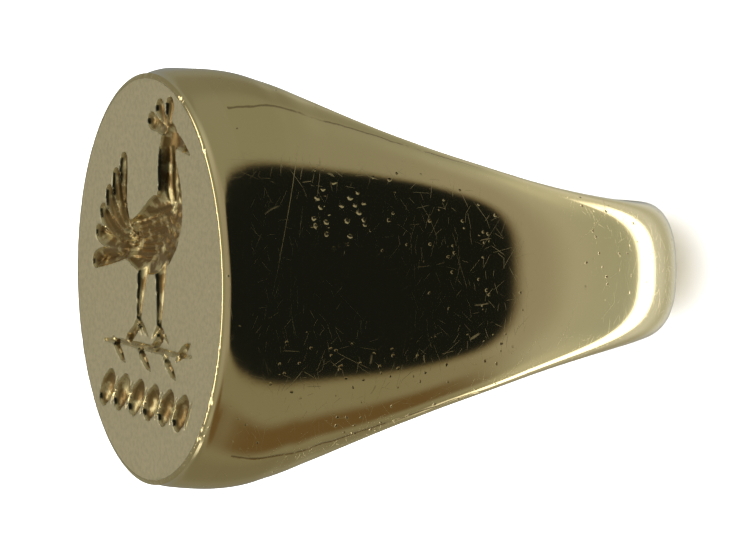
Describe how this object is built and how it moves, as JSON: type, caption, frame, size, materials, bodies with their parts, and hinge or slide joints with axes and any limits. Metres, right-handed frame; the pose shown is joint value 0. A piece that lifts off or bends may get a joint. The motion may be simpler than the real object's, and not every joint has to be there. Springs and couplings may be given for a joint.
{
  "type": "signet ring",
  "caption": "Gold Oxford signet ring: an upright oval seal face with an engraved device, on broad shoulders that taper to a D-section shank.",
  "frame": {"origin": "centre of the finger bore, midway along it", "axes": "+Y along the bore towards the bird's head, +Z square to the seal face and out of it, X across the finger"},
  "size_m": [0.0205, 0.0164, 0.0219],
  "materials": {
    "ring_gold": "polished gold with fine wear scratches and small casting pits",
    "seal_gold": "finely abraded matte gold face with darker engraving",
    "solder": "gold solder, slightly duller than the sheet it joins"
  },
  "bodies": {
    "root": {"seal_plate": "seal_gold", "plate_solder": "solder", "head": "ring_gold", "shoulder_solder_left": "solder", "shoulder_solder_right": "solder", "shank": "ring_gold"}
  },
  "joints": []
}
